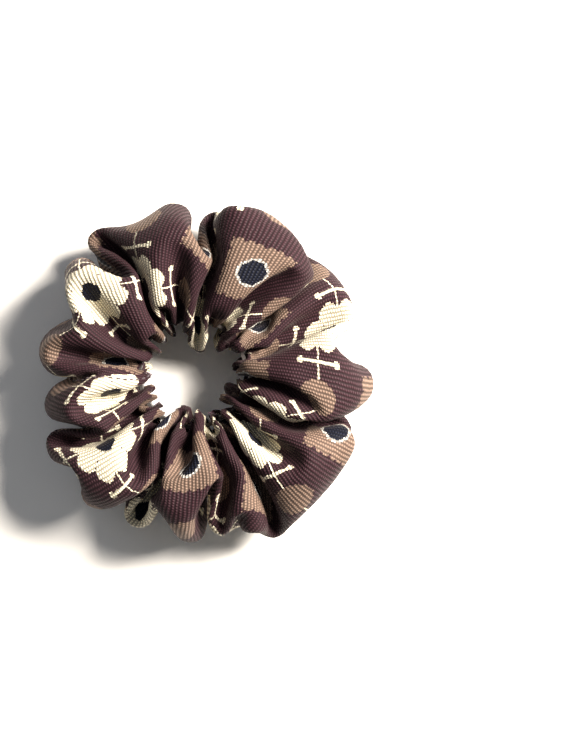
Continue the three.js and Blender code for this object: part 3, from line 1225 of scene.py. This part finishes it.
@dataclass
class Stitching:
    """The sewing thread: a run inside the long seam, a row by the closing seam, tacks on the lap.

    Sizes are in millimetres. rise is how far a stitch stands off the cloth along its length.
    """

    cover: GatheredCover
    diameter: float = 0.4
    inset: float = 0.62
    stitch: float = 2.4
    share_shown: float = 0.75
    rise: tuple[float, ...] = (-0.25, 0.1, 0.14, 0.1, -0.25)
    row_from_seam: float = 2.0
    tack_places: tuple[float, ...] = (-3.0, 0.0, 3.0)
    tack_off: float = 1.25
    tack_reach: float = 2.5
    tack_points: int = 6
    sides: int = 6

    def build(self, route: np.ndarray, finish: SpunThread) -> list[bpy.types.Object]:
        """Make the three threads.

        Args:
            route: The elastic's closed path, in millimetres.
            finish: The thread's finish.

        Returns:
            The long seam's thread, the closing seam's and the elastic's tacks.
        """
        thread = finish.dress()
        return [self._long_seam(thread), self._closing_seam(thread), self._tacks(route, thread)]

    def _finish(self, name: str, parts: list[tuple[np.ndarray, np.ndarray]], thread: bpy.types.Material,
                *nodes: str) -> bpy.types.Object:
        """Join lengths of thread into one piece that stands for its CAD nodes.

        Args:
            name: The piece's name.
            parts: Points and faces of each length.
            thread: The thread's material.
            nodes: The CAD nodes that it stands for.

        Returns:
            The piece.
        """
        counts = np.cumsum([0] + [len(points) for points, _ in parts])
        points = np.vstack([points for points, _ in parts])
        faces = np.vstack([faces + start for (_, faces), start in zip(parts, counts)])
        piece = make_object(name, points * MM, faces)
        piece.data.materials.append(thread)
        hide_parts(*nodes)
        stretch_with_ring(piece)
        return piece

    def _long_seam(self, thread: bpy.types.Material) -> bpy.types.Object:
        """A closed run of thread just inside the long seam, on its inner side.

        Args:
            thread: The thread's material.

        Returns:
            The piece.
        """
        grid = self.cover.grid
        path = grid[:, 0] - grid_normals(grid)[:, 0] * self.inset
        run = tube_along(path, self.diameter / 2, self.sides, True)
        return self._finish("long_seam_thread", [run], thread,
                            "long_seam_thread_right", "long_seam_thread_left")

    def _closing_seam(self, thread: bpy.types.Material) -> bpy.types.Object:
        """Machine stitches round the tube beside the closing seam, half sunk in the cloth.

        The row lies between two rows of the grid. Each stitch dips under at both ends.

        Args:
            thread: The thread's material.

        Returns:
            The piece.
        """
        grid = self.cover.grid
        apart = self.cover.plan.cut[1] / len(grid)
        first = int(self.row_from_seam / apart)
        share = self.row_from_seam / apart - first
        ring = grid[first] * (1 - share) + grid[first + 1] * share
        normals = grid_normals(grid)[first]
        paces = np.linalg.norm(np.roll(ring, -1, axis=0) - ring, axis=1)
        walked = np.concatenate([[0.0], np.cumsum(paces)])
        ring, normals = np.vstack([ring, ring[:1]]), np.vstack([normals, normals[:1]])
        rise = np.array(self.rise)
        count = int(walked[-1] / self.stitch)
        parts = []
        for start in np.arange(count) * walked[-1] / count:
            places = start + np.linspace(0.0, self.share_shown * self.stitch, len(rise))
            path = np.stack([np.interp(places, walked, ring[:, k]) for k in range(3)], axis=-1)
            out = np.stack([np.interp(places, walked, normals[:, k]) for k in range(3)], axis=-1)
            parts.append(tube_along(path + out * rise[:, None], self.diameter / 2, self.sides, False))
        return self._finish("closing_seam_thread", parts, thread, "closing_seam_thread")

    def _tacks(self, route: np.ndarray, thread: bpy.types.Material) -> bpy.types.Object:
        """Three stitches through the elastic's lap, each a short bar on its inner face.

        Args:
            route: The elastic's closed path.
            thread: The thread's material.

        Returns:
            The piece.
        """
        middle = route[0]
        outward = unit(middle * LEVEL)
        sideways = np.array([-outward[1], outward[0], 0.0])
        parts = []
        heights = np.linspace(-self.tack_reach, self.tack_reach, self.tack_points)
        for step in self.tack_places:
            foot = middle + sideways * step - outward * self.tack_off
            bar = foot + heights[:, None] * np.array([[0.0, 0.0, 1.0]])
            parts.append(tube_along(bar, self.diameter / 2, self.sides, False))
        return self._finish("elastic_tack_thread", parts, thread, "elastic_tack_thread")


@dataclass(frozen=True)
class Softbox:
    """A square area light: its place and side in metres, its power in watts and its tint as sRGB."""

    name: str
    place: tuple[float, float, float]
    side: float
    power: float
    tint: str


@dataclass
class Studio:
    """Camera straight above, a strong soft light from the right, a weak fill and pale paper.

    Places and the paper's half width are in metres.
    """

    eye: tuple[float, float, float] = (0.0265, -0.0003, 0.517)
    lens: float = 80.7
    aim: tuple[float, float, float] = (0.02, 0.0, 0.015)
    key: Softbox = Softbox("key_softbox", (0.40, 0.20, 0.42), 0.22, 19.0, "fff6ea")
    fill: Softbox = Softbox("fill_softbox", (-0.30, 0.35, 0.50), 0.40, 0.4, "e9f0ff")
    sky: float = 0.19
    paper_reach: float = 1.5

    def build(self) -> None:
        """Place everything that isn't the object."""
        scene = bpy.context.scene
        scene.view_settings.view_transform = "Standard"
        self._camera()
        self._light(self.key)
        self._light(self.fill)
        world = bpy.data.worlds.new("pale_room")
        world.use_nodes = True
        background = world.node_tree.nodes["Background"]
        background.inputs["Color"].default_value = linear("ffffff")
        background.inputs["Strength"].default_value = self.sky
        scene.world = world
        corners = np.array([(-1, -1, 0), (1, -1, 0), (1, 1, 0), (-1, 1, 0)]) * self.paper_reach
        floor = make_object("floor", corners, np.array([[0, 1, 2, 3]]))
        floor.data.materials.append(MattPaper().dress())

    def _camera(self) -> None:
        """The camera looks straight down, with its right along X."""
        camera = bpy.data.cameras.new("camera")
        camera.lens = self.lens
        holder = bpy.data.objects.new("camera", camera)
        holder.location = self.eye
        bpy.context.scene.collection.objects.link(holder)
        bpy.context.scene.camera = holder

    def _light(self, box: Softbox) -> None:
        """Put up an area light that faces the object.

        Args:
            box: The light.
        """
        lamp = bpy.data.lights.new(box.name, "AREA")
        lamp.size = box.side
        lamp.energy = box.power
        lamp.color = linear(box.tint)[:3]
        holder = bpy.data.objects.new(box.name, lamp)
        holder.location = box.place
        away = Vector(box.place) - Vector(self.aim)
        holder.rotation_euler = away.to_track_quat("Z", "Y").to_euler()
        bpy.context.scene.collection.objects.link(holder)


def elastic_route(cover: GatheredCover, half_thick: float = 0.5, points: int = 120) -> np.ndarray:
    """Path of the elastic: the circle that the cloth was gathered round, from the closing seam on.

    Args:
        cover: The finished cover.
        half_thick: From the elastic's inner face to its middle, in millimetres of the plan.
        points: How many points the circle has.

    Returns:
        The closed path, in millimetres.
    """
    turn = -math.pi + np.arange(points) * FULL_TURN / points
    radius = (cover.plan.band_radius + half_thick) * cover.plan.final_size
    level = np.full(points, cover.middle)
    return np.stack([radius * np.cos(turn), radius * np.sin(turn), level], axis=-1)


def main() -> None:
    """Build the scrunchie, then the studio."""
    logging.basicConfig(level=logging.INFO, format="%(message)s")
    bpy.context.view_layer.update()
    cover = GatheredCover(GatherPlan())
    LOG.info("cover: %s", cover.build(PrintedRibSatin()).name)
    route = elastic_route(cover)
    LOG.info("elastic: %s", Elastic().build(route, BraidedElastic()).name)
    for piece in Stitching(cover).build(route, SpunThread()):
        LOG.info("thread: %s", piece.name)
    Studio().build()


if __name__ == "__main__":
    main()
